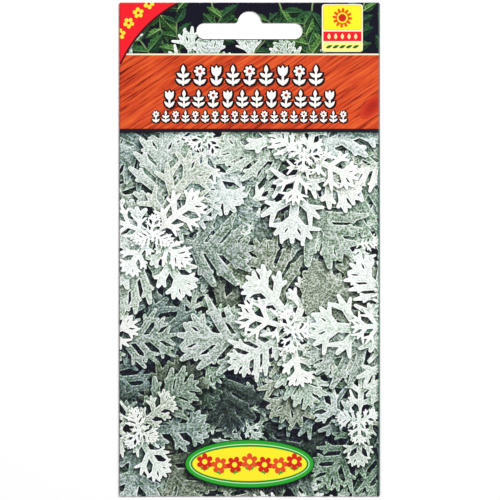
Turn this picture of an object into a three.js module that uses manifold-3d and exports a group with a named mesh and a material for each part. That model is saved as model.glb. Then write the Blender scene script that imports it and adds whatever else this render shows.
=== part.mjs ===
// A flat paper seed packet with a euro slot, lying on its back with its printed front up.
//
// The envelope is one sheet of coated paper. Its blank is a front panel with a back panel
// folded on at the right edge, a narrow tab at the left edge that is glued inside the back
// panel, and a flap at each end that is folded over the back and glued. The head, where all
// the layers are glued together, is punched with a hang slot. The seeds lie loose inside.
//
// Millimetres. +X is to the right of the front, +Y towards the head, +Z up from the table.
// The origin is on the table, under the middle of the packet.
import * as THREE from "three";
import { mergeVertices } from "three/addons/utils/BufferGeometryUtils.js";
import Module from "manifold-3d";

const wasm = await Module();
wasm.setup();

// Driving dimensions of the packet.
const PACKET_WIDTH = 82;
const PACKET_HEIGHT = 155.5;
const PAPER = 0.15; // coated paper of about 120 g/m2
const TOP_FLAP = 17;
const BOTTOM_FLAP = 13;
const SIDE_TAB = 9;
const BULGE = 1.5; // widest gap between the two panels, where the seeds lie

// The hang slot: two arms with round ends, and a round hump in the middle for the hook.
const SLOT_WIDTH = 33.4;
const SLOT_ARM_HEIGHT = 5; // the arms' ends are full half circles
const SLOT_BELOW_TOP = 11.5; // from the packet's top edge down to the slot's lower edge
const HUMP_RADIUS = 3.75;
const HUMP_FILLET = 0.9;
const HUMP_SEAT = 1.7; // width of the level seat at the hump's crown

// The seeds: slim ribbed achenes, pointed at both ends.
const SEED_LENGTH = 2.3;
const SEED_WIDTH = 0.66;
const SEED_SIDES = 5;
const SEED_COUNT = 96;
const HEAP_CENTRE = { x: 2, y: -38 };
const HEAP_REACH = { x: 17, y: 21 };

const RIGHT = PACKET_WIDTH / 2;
const TOP = PACKET_HEIGHT / 2;
const GLUE_OVERLAP = 0.03; // how deep two glued layers are sunk into each other
const FOLD_STRIP = 1; // width of the end folds, where the flap is as wide as the packet
const LEAST_GAP = 0.06; // the gap that stays where two unglued layers lie together
const CHAMBER_BOTTOM = -TOP + 0.6;
const CHAMBER_TOP = TOP - TOP_FLAP - 0.5;

const smoothStep = (from, to, v) => THREE.MathUtils.smoothstep(v, from, to);

// Between the panels: zero at the folds and at the glued head, widest below the middle.
function gapAt(x, y) {
  const across = Math.min(1, Math.abs(x) / (RIGHT - 0.2));
  const along = (y - CHAMBER_BOTTOM) / (CHAMBER_TOP - CHAMBER_BOTTOM);
  if (along <= 0 || along >= 1) return 0;
  const seedward = along ** 0.85;
  return BULGE * (1 - across ** 2) ** 0.75 * (4 * seedward * (1 - seedward)) ** 0.65;
}

// The side tab adds a layer of paper along the left edge.
const tabLift = (x) => PAPER * (1 - smoothStep(SIDE_TAB - RIGHT - 1, SIDE_TAB - RIGHT + 1, x));

// Top of the front panel: flap, back panel and front panel, the tab, and the gap.
const frontHeight = (x, y) => 3 * PAPER + tabLift(x) + gapAt(x, y);

// ---------------------------------------------------------------- mesh and solid helpers

// A closed surface through rings of the same number of points, capped at both ends.
function loft(rings) {
  const count = rings[0].length;
  const points = rings.flat();
  const faces = [];
  for (let r = 0; r + 1 < rings.length; r++)
    for (let i = 0; i < count; i++) {
      const a = r * count + i;
      const b = r * count + ((i + 1) % count);
      faces.push([a, b, a + count], [b, b + count, a + count]);
    }
  for (const [ring, turned] of [[0, true], [rings.length - 1, false]]) {
    const middle = new THREE.Vector3();
    rings[ring].forEach((p) => middle.addScaledVector(p, 1 / count));
    points.push(middle);
    for (let i = 0; i < count; i++) {
      const a = ring * count + i;
      const b = ring * count + ((i + 1) % count);
      faces.push(turned ? [b, a, points.length - 1] : [a, b, points.length - 1]);
    }
  }
  const geometry = new THREE.BufferGeometry().setFromPoints(points);
  return geometry.setIndex(faces.flat());
}

function toSolid(geometry) {
  const bare = geometry.clone();
  bare.deleteAttribute("normal");
  bare.deleteAttribute("uv");
  const merged = mergeVertices(bare, 1e-4);
  return new wasm.Manifold(
    new wasm.Mesh({
      numProp: 3,
      vertProperties: new Float32Array(merged.attributes.position.array),
      triVerts: new Uint32Array(merged.index.array),
    }),
  );
}

function toGeometry(solid) {
  const mesh = solid.getMesh();
  const geometry = new THREE.BufferGeometry();
  geometry.setAttribute("position", new THREE.BufferAttribute(mesh.vertProperties, 3));
  geometry.setIndex(new THREE.BufferAttribute(mesh.triVerts, 1));
  geometry.computeVertexNormals();
  return geometry;
}

// An outline in the XY plane, raised from one height to another.
function plate(outline, low, high) {
  const shape = outline instanceof THREE.Shape ? outline : new THREE.Shape(outline);
  const options = { depth: high - low, bevelEnabled: false, curveSegments: 9 };
  return toSolid(new THREE.ExtrudeGeometry(shape, options).translate(0, 0, low));
}

function block(x0, x1, y0, y1, z0, z1) {
  const size = new THREE.BoxGeometry(x1 - x0, y1 - y0, z1 - z0);
  return toSolid(size.translate((x0 + x1) / 2, (y0 + y1) / 2, (z0 + z1) / 2));
}

// ------------------------------------------------------------------------- the envelope

// Distances in from an end fold and the share of the full thickness there: a round edge.
const FOLD_RADIUS = 1.5 * PAPER;
const FOLD_TURNS = [25, 50, 75, 90].map((degrees) => {
  const turn = THREE.MathUtils.degToRad(degrees);
  return { inset: FOLD_RADIUS * (1 - Math.cos(turn)), share: Math.sin(turn) };
});

// One section of the folded sleeve at y: down-side flat, side folds round, front bulged.
function sleeveRing(y, low, share) {
  const foldRadius = (side) => (frontHeight(side * RIGHT, y) - PAPER) / 2;
  const fold = (side) =>
    [-90, -60, -30, 0, 30, 60, 90].map((degrees) => {
      const turn = THREE.MathUtils.degToRad(degrees * side);
      const r = foldRadius(side);
      return { x: side * (RIGHT - r + r * Math.cos(turn)), z: PAPER + r + r * Math.sin(turn) };
    });
  const steps = 20;
  const front = [];
  for (let i = 1; i < steps; i++) {
    const x = THREE.MathUtils.lerp(RIGHT - foldRadius(1), foldRadius(-1) - RIGHT, i / steps);
    front.push({ x, z: frontHeight(x, y) });
  }
  const ring = [...fold(1), ...front, ...fold(-1)];
  ring[0].z = low;
  ring[ring.length - 1].z = low;
  const middle = 1.5 * PAPER;
  return ring.map(({ x, z }) => new THREE.Vector3(x, y, middle + (z - middle) * share));
}

function sleeve() {
  const stations = [];
  const endStations = (end) =>
    FOLD_TURNS.map(({ inset, share }) => ({
      y: end * (TOP - inset + FOLD_TURNS[0].inset),
      low: 0,
      share,
    }));
  stations.push(...endStations(-1));
  stations.push({ y: -TOP + FOLD_STRIP, low: 0, share: 1 });
  const steps = 26;
  for (let i = 0; i <= steps; i++) {
    const y = THREE.MathUtils.lerp(-TOP + FOLD_STRIP + 0.02, TOP - FOLD_STRIP - 0.02, i / steps);
    stations.push({ y, low: PAPER, share: 1 });
  }
  stations.push({ y: TOP - FOLD_STRIP, low: 0, share: 1 });
  stations.push(...endStations(1).reverse());
  return toSolid(loft(stations.map(({ y, low, share }) => sleeveRing(y, low, share)).reverse()));
}

// The space between the panels, which the seeds lie in.
function chamber() {
  const rings = [];
  const steps = 24;
  const [left, right] = [-RIGHT + 0.4, RIGHT - 0.35];
  for (let j = 0; j <= steps; j++) {
    const y = THREE.MathUtils.lerp(CHAMBER_BOTTOM, CHAMBER_TOP, j / steps);
    const roof = (x) => frontHeight(x, y) - PAPER - gapAt(x, y) + Math.max(LEAST_GAP, gapAt(x, y));
    const ring = [new THREE.Vector3(left, y, 2 * PAPER), new THREE.Vector3(right, y, 2 * PAPER)];
    for (let i = 0; i <= 20; i++) {
      const x = THREE.MathUtils.lerp(right, left, i / 20);
      ring.push(new THREE.Vector3(x, y, roof(x)));
    }
    rings.push(ring);
  }
  return toSolid(loft(rings.reverse()));
}

// A flap folded over the back, narrower at its free edge.
function endFlap(end, depth, mitre) {
  const fold = end * (TOP - FOLD_STRIP / 2);
  const free = end * (TOP - depth);
  const wide = RIGHT - 0.4;
  const outline = [
    new THREE.Vector2(-wide, fold),
    new THREE.Vector2(wide, fold),
    new THREE.Vector2(wide - mitre, free),
    new THREE.Vector2(mitre - wide, free),
  ];
  return plate(end > 0 ? outline.reverse() : outline, 0, PAPER + GLUE_OVERLAP);
}

const SLOT_LOWER = TOP - SLOT_BELOW_TOP;
const SLOT_UPPER = SLOT_LOWER + SLOT_ARM_HEIGHT;

function hangSlot() {
  const r = SLOT_ARM_HEIGHT / 2;
  const endCentre = SLOT_WIDTH / 2 - r;
  // The fillet's centre lies above the arm, where the fillet touches both the arm and the hump.
  const filletX = Math.sqrt((HUMP_RADIUS + HUMP_FILLET) ** 2 - HUMP_FILLET ** 2);
  const meet = Math.atan2(HUMP_FILLET, filletX);
  const seat = Math.acos(HUMP_SEAT / 2 / HUMP_RADIUS);
  const [lower, upper] = [SLOT_LOWER, SLOT_UPPER];
  const slot = new THREE.Shape();
  slot.moveTo(-endCentre, lower);
  slot.lineTo(endCentre, lower);
  slot.absarc(endCentre, lower + r, r, -Math.PI / 2, Math.PI / 2);
  slot.absarc(filletX, upper + HUMP_FILLET, HUMP_FILLET, -Math.PI / 2, meet - Math.PI, true);
  slot.absarc(0, upper, HUMP_RADIUS, meet, seat);
  slot.absarc(0, upper, HUMP_RADIUS, Math.PI - seat, Math.PI - meet);
  slot.absarc(-filletX, upper + HUMP_FILLET, HUMP_FILLET, -meet, -Math.PI / 2, true);
  slot.absarc(-endCentre, lower + r, r, Math.PI / 2, 1.5 * Math.PI);
  return plate(slot, -1, 3);
}

// The folded corners never close quite tight: a pinhole stays at each end of the bottom fold.
function cornerPinhole(side) {
  const [inner, outer] = [side * (RIGHT - 1.9), side * (RIGHT - 0.7)];
  const [x0, x1] = [Math.min(inner, outer), Math.max(inner, outer)];
  const low = 2 * PAPER + tabLift(inner);
  return block(x0, x1, -TOP - 1, CHAMBER_BOTTOM + 0.8, low, low + LEAST_GAP);
}

function envelope() {
  const tabTop = CHAMBER_TOP + 1;
  const tab = block(-RIGHT + 0.35, SIDE_TAB - RIGHT, CHAMBER_BOTTOM - 0.1, tabTop,
    2 * PAPER - GLUE_OVERLAP, 3 * PAPER);
  const edgeGroove = block(-RIGHT - 1, -RIGHT + 0.8, FOLD_STRIP * 2 - TOP, TOP - FOLD_STRIP * 2,
    -1, 1.6 * PAPER);
  return sleeve()
    .subtract(edgeGroove)
    .subtract(chamber())
    .add(tab)
    .add(endFlap(1, TOP_FLAP, 2.2))
    .add(endFlap(-1, BOTTOM_FLAP, 3.4))
    .subtract(cornerPinhole(-1))
    .subtract(cornerPinhole(1))
    .subtract(hangSlot());
}

// ---------------------------------------------------------------------------- the seeds

// A repeatable stream of numbers from 0 to 1.
function randomStream(seed) {
  let state = seed;
  return () => {
    state = (state * 1664525 + 1013904223) % 4294967296;
    return state / 4294967296;
  };
}

function seedSolid(x, y, z, heading) {
  const half = SEED_LENGTH / 2;
  const radius = SEED_WIDTH / 2;
  const profile = [
    new THREE.Vector2(0, -half),
    new THREE.Vector2(0.75 * radius, -0.7 * half),
    new THREE.Vector2(radius, 0.15 * half),
    new THREE.Vector2(0, half),
  ];
  const geometry = new THREE.LatheGeometry(profile, SEED_SIDES);
  geometry.rotateZ(heading).translate(x, y, z);
  return toSolid(geometry);
}

// A low heap one seed deep. Each seed crosses the tip of an earlier one and is fused to it.
function seedHeap() {
  const random = randomStream(7);
  const placed = [{ ...HEAP_CENTRE, heading: 0.4 }];
  const reach = 0.42 * SEED_LENGTH;
  while (placed.length < SEED_COUNT) {
    const host = placed[Math.floor(random() * placed.length)];
    const tip = random() < 0.5 ? -reach : reach;
    const heading = host.heading + Math.PI / 2 + (random() - 0.5) * 1.4;
    const shift = (random() < 0.5 ? -1 : 1) * (0.25 + 0.5 * random()) * reach;
    const x = host.x - tip * Math.sin(host.heading) - shift * Math.sin(heading);
    const y = host.y + tip * Math.cos(host.heading) + shift * Math.cos(heading);
    const out = ((x - HEAP_CENTRE.x) / HEAP_REACH.x) ** 2 + ((y - HEAP_CENTRE.y) / HEAP_REACH.y) ** 2;
    const crowded = placed.some((s) => Math.hypot(s.x - x, s.y - y) < 0.36 * SEED_LENGTH);
    if (out < 1 && !crowded) placed.push({ x, y, heading });
  }
  const seat = 2 * PAPER + 0.05 + SEED_WIDTH / 2;
  return wasm.Manifold.union(placed.map((s) => seedSolid(s.x, s.y, seat, s.heading)));
}

// ---------------------------------------------------------------------------- the packet

function part(name, solid, colour, roughness) {
  const material = new THREE.MeshStandardMaterial({ color: colour, roughness, metalness: 0 });
  const mesh = new THREE.Mesh(toGeometry(solid), material);
  mesh.name = name;
  return mesh;
}

const packet = new THREE.Group();
packet.add(part("envelope", envelope(), 0xc9d1c4, 0.35));
packet.add(part("seeds", seedHeap(), 0x8a7350, 0.7));

export default packet;
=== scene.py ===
import math

import bpy
import numpy as np
from mathutils import Matrix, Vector
from mathutils.geometry import delaunay_2d_cdt


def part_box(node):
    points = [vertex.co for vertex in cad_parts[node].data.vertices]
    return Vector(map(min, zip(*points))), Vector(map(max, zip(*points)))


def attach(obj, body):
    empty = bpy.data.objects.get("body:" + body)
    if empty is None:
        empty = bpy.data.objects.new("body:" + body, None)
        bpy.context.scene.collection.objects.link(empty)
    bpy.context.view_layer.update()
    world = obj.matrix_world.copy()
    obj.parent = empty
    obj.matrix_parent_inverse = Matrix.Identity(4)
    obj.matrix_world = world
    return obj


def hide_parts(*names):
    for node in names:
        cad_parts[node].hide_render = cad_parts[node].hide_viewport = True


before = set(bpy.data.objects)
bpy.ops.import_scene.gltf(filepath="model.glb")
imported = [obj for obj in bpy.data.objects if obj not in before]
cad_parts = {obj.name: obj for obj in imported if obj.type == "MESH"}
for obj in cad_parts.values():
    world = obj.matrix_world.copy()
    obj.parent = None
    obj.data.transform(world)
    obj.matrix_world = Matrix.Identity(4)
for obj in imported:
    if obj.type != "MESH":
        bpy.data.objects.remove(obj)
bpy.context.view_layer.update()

# ---------------------------------------------------------------- table, light and camera
# The packet lies on a plain white table. The camera looks straight down on its printed
# front. A large soft light hangs at the upper right and a weaker one at the left, so the
# packet throws a faint shadow to its left and towards its foot.

FRAME_HEIGHT = 0.1574  # what the square picture takes in, along Y
CAMERA_HEIGHT = 1.0
SENSOR = 36.0
AIM = (0.00014, -0.00016)

camera_data = bpy.data.cameras.new("camera")
camera_data.sensor_width = SENSOR
camera_data.lens = SENSOR * CAMERA_HEIGHT / FRAME_HEIGHT
camera = bpy.data.objects.new("camera", camera_data)
camera.location = (AIM[0], AIM[1], CAMERA_HEIGHT)
bpy.context.scene.collection.objects.link(camera)
bpy.context.scene.camera = camera


def soft_light(name, place, size, watts):
    """A square area light that points at the packet's middle."""
    data = bpy.data.lights.new(name, "AREA")
    data.size = size
    data.energy = watts
    light = bpy.data.objects.new(name, data)
    light.location = place
    tilt = math.atan2(math.hypot(*place[:2]), place[2])
    light.rotation_euler = (tilt, 0, math.atan2(place[1], place[0]) + math.pi / 2)
    bpy.context.scene.collection.objects.link(light)


soft_light("key_light", (0.55, 0.5, 0.85), 0.5, 10)
soft_light("fill_light", (-0.8, 0.1, 0.8), 0.9, 4.6)

world = bpy.data.worlds.new("studio")
bpy.context.scene.world = world
world.use_nodes = True
world.node_tree.nodes["Background"].inputs["Color"].default_value = (1, 1, 1, 1)
world.node_tree.nodes["Background"].inputs["Strength"].default_value = 0.31
bpy.context.scene.view_settings.view_transform = "Standard"

bpy.ops.object.select_all(action="DESELECT")
bpy.ops.mesh.primitive_plane_add(size=6)
table = bpy.context.object
table.name = "table"
table.location.z = -0.00002  # a hair under the flaps, so that no two faces coincide
bpy.ops.object.transform_apply()
table_paint = bpy.data.materials.new("white_table")
table_paint.use_nodes = True
table_shader = table_paint.node_tree.nodes["Principled BSDF"]
table_shader.inputs["Base Color"].default_value = (0.98, 0.98, 0.98, 1)
table_shader.inputs["Roughness"].default_value = 0.9
table_shader.inputs["Specular IOR Level"].default_value = 0.1
table.data.materials.append(table_paint)

# ------------------------------------------------------- the envelope: the sheet and its folds
# The envelope is one sheet of coated paper: a front panel, a back panel folded on at the
# right edge, a glued tab at the left edge and a flap at each end, folded over the back.
# It is drawn flat, as its blank, in millimetres from the middle of the front, and folded.

MM = 0.001
PAPER = 0.15
LAYER = 0.16  # the paper and its film of glue
TAB = 9
TOP_FLAP = 17
BOTTOM_FLAP = 13
BULGE = 1.48  # widest gap between the two panels
WAVE = 0.022  # height of the paper's waves
RIGHT = round(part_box("envelope")[1].x / MM, 2)
TOP = round(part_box("envelope")[1].y / MM, 2)
CHAMBER_BOTTOM = 0.6 - TOP
CHAMBER_TOP = TOP - TOP_FLAP - 0.5

SIDE_ROLL = (LAYER + PAPER) / 2  # outer radius of a side fold
SIDE_TURN = math.pi * (SIDE_ROLL - PAPER / 2)  # length of sheet in a side fold
FLAT = RIGHT - SIDE_ROLL  # where the front stops being flat
SIDE_END = SIDE_TURN + FLAT
END_ROLL = 0.32
END_TURN = math.pi * (END_ROLL - PAPER / 2)
END_FLAT = TOP - END_ROLL
FLAP_START = END_FLAT + END_TURN
PANEL_END = END_FLAT - 0.03  # the back panel and the tab stop just short of the end folds
FLAP_HALF = RIGHT - 0.18
BACK_MIDDLE = SIDE_END + FLAT  # on the blank, the middle of the back panel
BACK_END = BACK_MIDDLE + RIGHT - 0.8
TAB_END = SIDE_END + TAB - SIDE_ROLL
TOP_FLAP_END = FLAP_START + TOP_FLAP - END_ROLL
BOTTOM_FLAP_END = FLAP_START + BOTTOM_FLAP - END_ROLL


def smooth(value, start, end):
    """0 before start, 1 past end, with a soft change between them."""
    t = np.clip((value - start) / (end - start), 0, 1)
    return t * t * (3 - 2 * t)


def gap(x, y):
    """The space between the panels, widest below the middle, where the seeds lie."""
    across = np.minimum(1, np.abs(x) / (RIGHT - 0.2))
    along = np.clip((y - CHAMBER_BOTTOM) / (CHAMBER_TOP - CHAMBER_BOTTOM), 0, 1)
    seedward = along**0.85
    return BULGE * (1 - across**2) ** 0.75 * (4 * seedward * (1 - seedward)) ** 0.65


def ripples(x, y):
    """Slight waves of the paper, which die out at the folds and in the glued head."""
    calm = smooth(RIGHT - np.abs(x), 0.3, 9) * smooth(y, CHAMBER_BOTTOM, CHAMBER_BOTTOM + 9)
    calm = calm * smooth(CHAMBER_TOP - y, 0.3, 9)
    wave = np.sin(0.19 * x + 0.05 * y + 1.0) * np.sin(0.11 * y + 0.4)
    return WAVE * calm * (wave + 0.6 * np.sin(0.31 * y - 0.17 * x))


def front_height(x, y):
    """The printed face of the front: the flap, back and front layers, the tab and the gap."""
    tab = LAYER * (1 - smooth(x, TAB - RIGHT - 1, TAB - RIGHT + 1))
    return 2 * LAYER + PAPER + tab + gap(x, y) + ripples(x, y)


def fold(blank, depth):
    """Where points of the blank lie in the folded packet, at a depth under the printed face."""
    u, v = blank.T
    x, y, z = u, v, front_height(u, v) - depth
    side, past = np.sign(u), np.abs(u) - FLAT
    turn = np.clip(past / SIDE_TURN, 0, 1) * np.pi
    edge = front_height(side * FLAT, v)
    rolled_x = side * (FLAT + (SIDE_ROLL - depth) * np.sin(turn) - np.maximum(0, past - SIDE_TURN))
    rolled_z = edge - SIDE_ROLL + (SIDE_ROLL - depth) * np.cos(turn)
    x, z = np.where(past > 0, rolled_x, x), np.where(past > 0, rolled_z, z)
    end, past = np.sign(v), np.abs(v) - END_FLAT
    turn = np.clip(past / END_TURN, 0, 1) * np.pi
    half = front_height(u, end * END_FLAT) / 2
    rolled_y = end * (END_FLAT + (END_ROLL - depth) * np.sin(turn) - np.maximum(0, past - END_TURN))
    y = np.where(past > 0, rolled_y, y)
    z = np.where(past > 0, half + (half - depth) * np.cos(turn), z)
    return np.column_stack([x, y, z])


def steps_round(ring):
    """A closed outline, given by its points, as an array of straight steps."""
    ring = np.asarray(ring, float)
    return np.stack([ring, np.roll(ring, -1, axis=0)], axis=1)


def arc(centre, radius, start, end, count=10):
    """Points on an arc, from one angle to another, in degrees."""
    turn = np.radians(np.linspace(start, end, count))
    return centre + radius * np.column_stack([np.cos(turn), np.sin(turn)])


def blank_outline():
    """The cut edge of the sheet, with mitred flaps and rounded flap corners."""
    corner = 1.6
    ring = []
    for end, length, mitre in ((1, TOP_FLAP_END, 2.2), (-1, BOTTOM_FLAP_END, 3.4)):
        free = FLAP_HALF - mitre - corner
        flap = [(FLAP_HALF, END_FLAT), (FLAP_HALF, FLAP_START)]
        flap += list(arc((free, length - corner), corner, 8, 90, 6))
        flap += [(-x, y) for x, y in flap[::-1]]
        ring += [(end * x, end * y) for x, y in flap]
        side = [(-FLAT, PANEL_END), (-SIDE_END, PANEL_END)]
        if end > 0:
            side += [(-TAB_END, PANEL_END - 4)]
        else:
            side += [(-BACK_END, PANEL_END)]
        side += [(x, -y) for x, y in side[::-1]]
        ring += [(end * x, end * y) for x, y in side]
    return steps_round(ring)


SLOT_ARM = 2.5  # radius of the slot's round ends
SLOT_END = 14.2  # how far their middles lie from the packet's middle
SLOT_MIDDLE = TOP - 9


def slot_outline():
    """The hang slot: two arms with round ends and a round hump with a level seat."""
    hump, fillet, seat = 3.75, 0.9, 0.85
    upper = SLOT_MIDDLE + SLOT_ARM
    meet_x = math.sqrt((hump + fillet) ** 2 - fillet**2)
    meet = math.degrees(math.atan2(fillet, meet_x))
    crown = math.degrees(math.acos(seat / hump))
    right = [
        arc((SLOT_END, SLOT_MIDDLE), SLOT_ARM, -90, 90, 15),
        arc((meet_x, upper + fillet), fillet, -90, meet - 180, 6),
        arc((0, upper), hump, meet, crown, 10),
    ]
    right = np.concatenate(right)
    return np.concatenate([right, right[::-1] * (-1, 1)])


slot = slot_outline()
slot_on_back = slot * (-1, 1) + (BACK_MIDDLE, 0)
slot_on_flap = slot * (1, -1) + (0, END_FLAT + FLAP_START)
cut_edges = np.concatenate([blank_outline(), *map(steps_round, (slot, slot_on_back, slot_on_flap))])


def fold_ribs():
    """Lines along the folds, which the sheet bends on."""
    ribs = []
    for part in np.linspace(0, 1, 7):
        for side in (-1, 1):
            u = side * (FLAT + part * SIDE_TURN)
            ribs.append([(u, -PANEL_END), (u, PANEL_END)])
            v = side * (END_FLAT + part * END_TURN)
            ribs.append([(-FLAP_HALF, v), (FLAP_HALF, v)])
    return np.array(ribs)


# ------------------------------------------------------- the envelope: how the print is laid
# The print is a stack of flat patches of ink in the blank's millimetres, each over the ones
# before it. The sheet's mesh follows the patches' outlines, so every edge of the print is
# sharp, and each corner of a face carries its ink and its distances from edge and veins.

PLAIN, LEAF, WOOD, GREEN = 0, 1, 2, 3
LEFT_BLEED, RIGHT_BLEED = -SIDE_END - 1, FLAT + 0.1  # how far the front's print reaches
HEAD_BLEED = FLAP_START + 3.2
patches = []


def ink(code):
    """Linear red, green and blue of a screen colour such as #e8502a."""
    shown = np.array([int(code[i : i + 2], 16) for i in (1, 3, 5)]) / 255
    return np.where(shown <= 0.04045, shown / 12.92, ((shown + 0.055) / 1.055) ** 2.4)


def lay(outline, colour, finish=PLAIN, shaded=0.0, veins=None, tone=0.0):
    """Adds a patch of ink on top. Shaded is how much of the shadow of later patches it takes."""
    patches.append({
        "outline": outline, "ink": ink(colour), "finish": finish,
        "shaded": shaded, "veins": veins, "tone": tone,
        "low": outline.min((0, 1)), "high": outline.max((0, 1)),
    })


def inside(outline, points):
    """Which points lie inside an outline of straight steps, by the even-odd rule."""
    result = np.zeros(len(points), bool)
    (ax, ay), (bx, by) = outline.transpose(1, 2, 0)[..., None]
    slope = (bx - ax) / np.where(by == ay, 1, by - ay)
    for first in range(0, len(points), 20000):
        x, y = points[first : first + 20000].T
        crossed = ((ay > y) != (by > y)) & (x < ax + (y - ay) * slope)
        result[first : first + 20000] = crossed.sum(0) % 2 == 1
    return result


def topmost(points):
    """Number of the uppermost patch at each point, or -1 on bare paper."""
    result = np.full(len(points), -1)
    open_points = np.arange(len(points))
    for number in reversed(range(len(patches))):
        patch, places = patches[number], points[open_points]
        near = np.flatnonzero(((places > patch["low"]) & (places < patch["high"])).all(1))
        hit = near[inside(patch["outline"], places[near])]
        result[open_points[hit]] = number
        open_points = np.delete(open_points, hit)
    return result


def distance(segments, points):
    """Vector from the nearest point of any segment to each point."""
    start, span = segments[:, 0], segments[:, 1] - segments[:, 0]
    square = np.maximum((span**2).sum(1), 1e-9)
    result = []
    for first in range(0, len(points), 2000):
        away = points[first : first + 2000, None] - start
        part = np.clip((away * span).sum(2) / square, 0, 1)
        away = away - part[:, :, None] * span
        nearest = (away**2).sum(2).argmin(1)
        result.append(away[np.arange(len(away)), nearest])
    return np.concatenate(result)


def turned(degrees):
    return np.array([math.cos(math.radians(degrees)), math.sin(math.radians(degrees))])


def placed(shape, place, heading=0.0, size=1.0, bend=0.0):
    """A drawn shape, sized, curved by so many degrees for each millimetre, turned and moved."""
    x, y = shape[..., 0] * size, shape[..., 1] * size
    if bend:
        rate = math.radians(bend)
        x, y = np.sin(rate * x) * (1 / rate - y), 1 / rate - np.cos(rate * x) * (1 / rate - y)
    along = turned(heading)
    across = place[0] + along[0] * x - along[1] * y
    return np.stack([across, place[1] + along[1] * x + along[0] * y], -1)


# ------------------------------------------------------------- the print: silver foliage
# The lower three quarters of the front show dense silver foliage. Each leaf is felted, cut
# into tapering fingers with side lobes, and grows in a rosette: long grey leaves outside,
# short white ones in the heart. Darker leaves and near-black gaps lie between.

BAND_FOOT = 38.0
FOLIAGE_FOOT = -END_FLAT - 2.2
LEAF_LENGTH = 24
chance = np.random.default_rng(11)


def finger(start, end, start_radius, end_radius):
    """Outline of one straight, tapered finger with round ends."""
    span = end - start
    heading = math.degrees(math.atan2(span[1], span[0]))
    count = max(1, round(math.hypot(*span) / 2.2))
    parts = np.arange(1, count)[:, None] / count
    across = (start_radius + parts * (end_radius - start_radius)) * turned(heading + 90)
    tip = arc(end, end_radius, heading - 90, heading + 90, 5)
    foot = arc(start, start_radius, heading + 90, heading + 270, 5)
    middle = start + parts * span
    return np.concatenate([tip, (middle + across)[::-1], foot, middle - across])


def joined(rings):
    """Outline of several overlapping outlines made one, as straight steps."""
    loops, first = [], 0
    for ring in rings:
        loops.append(list(range(first, first + len(ring))))
        first += len(ring)
    points = [tuple(p) for p in np.concatenate(rings)]
    corners, _, faces, _, _, owners = delaunay_2d_cdt(points, [], loops, 1, 1e-5)
    edges = set()
    for face, owner in zip(faces, owners):
        if owner:
            edges ^= {tuple(sorted(pair)) for pair in zip(face, face[1:] + face[:1])}
    return np.array(corners)[np.array(sorted(edges))]


def silver_leaf(pairs, width, tooth, lean=66, spread=45, forks=(0.56, 0.68)):
    """Outline and veins of one leaf along +X, its stalk's foot at the origin. Lean is the angle
    of its fingers to the stalk, spread that of the lobes to a finger, and forks their places."""
    rings, veins = [], []

    def grow(start, end, start_radius, end_radius):
        rings.append(finger(start, end, start_radius * width, end_radius * width))
        veins.append((start, end))

    stalk, blade = np.array([0.2 * LEAF_LENGTH, 0]), np.array([0.84 * LEAF_LENGTH, 0])
    grow(np.zeros(2), stalk, 0.3, 0.5)
    grow(stalk, blade, 0.8, 0.9)
    roots = np.linspace(stalk[0] + 0.5, 0.68 * LEAF_LENGTH, pairs)
    for share, root in zip(np.linspace(0, 1, pairs), roots):
        for side in (1, -1):
            reach = LEAF_LENGTH * (0.17 + 0.2 * math.sin(math.pi * (0.1 + 0.72 * share)))
            heading = side * (lean * (1 - 0.3 * share) + chance.uniform(-5, 5))
            base = np.array([root + chance.uniform(-0.3, 0.3), 0])
            tip = base + reach * chance.uniform(0.85, 1.15) * turned(heading)
            shoulder = base + 0.66 * (tip - base)
            grow(base, shoulder, 0.66, 0.76)
            grow(shoulder, base + 1.1 * (tip - base), 0.76, 0.36)
            for part, way in zip(forks, (1, -1)):
                fork = base + part * (tip - base)
                reach_out = tooth * (roots[1] - roots[0]) * chance.uniform(0.8, 1.2)
                grow(fork, fork + 1.15 * reach_out * turned(heading + side * way * spread), 0.62, 0.32)
    for heading in (spread, -spread, 0):
        reach = 0.14 * LEAF_LENGTH * chance.uniform(0.85, 1.1)
        grow(blade, blade + 1.1 * reach * turned(heading), 0.78, 0.36)
    return joined(rings), np.array(veins)


# pairs of fingers, breadth of the fingers and length of their lobes
BROAD_CUTS = ((4, 1.5, 0.5), (4, 1.7, 0.42), (3, 1.9, 0.5), (3, 2.2, 0.4), (3, 1.5, 0.7), (4, 1.3, 0.6))
YOUNG_CUTS = ((3, 1.5, 0.6), (3, 1.8, 0.5), (4, 1.5, 0.5), (3, 1.3, 0.7))
LEAF_TINTS = ("#ffffff", "#fff3de", "#edffe8", "#edf6ff", "#f8ffee")
broad_leaves = [silver_leaf(*cut) for cut in BROAD_CUTS for _ in range(2)]
young_leaves = [silver_leaf(*cut) for cut in YOUNG_CUTS for _ in range(2)]
hand_leaves = [silver_leaf(2, 1.15, 0.3, 46, 29, (0.35, 0.5)) for _ in range(3)]


def lay_leaf(kinds, place, heading, length, tone):
    """Prints one silver leaf with its foot at a place."""
    outline, veins = kinds[chance.integers(len(kinds))]
    bend = chance.uniform(-1.6, 1.6)
    outline, veins = (placed(s, place, heading, length / LEAF_LENGTH, bend) for s in (outline, veins))
    lay(outline, LEAF_TINTS[chance.integers(len(LEAF_TINTS))], LEAF, 1.0, veins, tone)


# leaves in each ring of a rosette, their length, their tone and how far out their feet lie
ROSETTE_RINGS = ((4, 32, 0.42, 1.8), (5, 25, 0.62, 1.2), (4, 17, 0.9, 0.4), (3, 9, 1.0, -1.6))


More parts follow.
